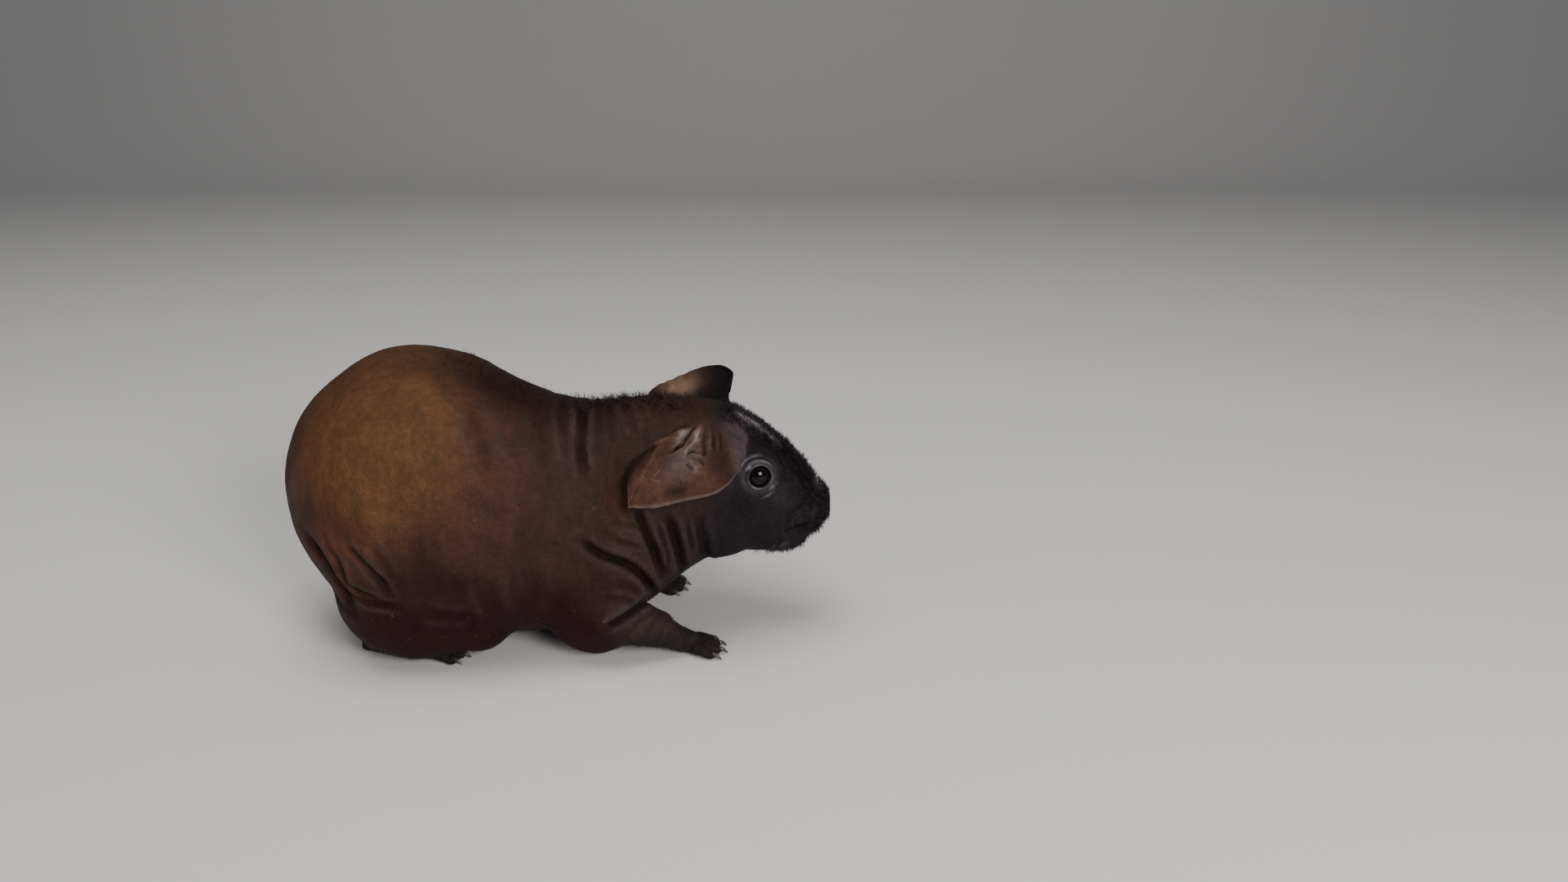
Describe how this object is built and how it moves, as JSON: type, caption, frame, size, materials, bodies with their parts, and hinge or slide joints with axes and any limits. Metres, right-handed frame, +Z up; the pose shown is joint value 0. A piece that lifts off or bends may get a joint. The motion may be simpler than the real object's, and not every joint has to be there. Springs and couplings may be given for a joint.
{
  "type": "skinny pig",
  "caption": "Hairless guinea pig, crouched on its feet with its back arched: a round brown body, a dark blunt face, wide drooping ears and short clawed feet.",
  "frame": {"origin": "on the floor, at the centre of the animal's bounding box", "axes": "+X towards the nose, +Y towards the animal's left side, +Z up"},
  "size_m": [0.2142, 0.1128, 0.115],
  "materials": {
    "body_skin": "satin",
    "face_skin": "satin",
    "ear_skin": "satin",
    "eye": "gloss"
  },
  "bodies": {
    "root": {"ear_left": "ear_skin", "ear_right": "ear_skin", "eye_left": "eye", "eye_right": "eye", "fore_foot_left": "face_skin", "fore_foot_right": "face_skin", "fore_leg_left": "body_skin", "fore_leg_right": "body_skin", "head": "face_skin", "hind_foot_left": "face_skin", "hind_foot_right": "face_skin", "hind_leg_left": "body_skin", "hind_leg_right": "body_skin", "neck": "body_skin", "torso": "body_skin"}
  },
  "joints": []
}
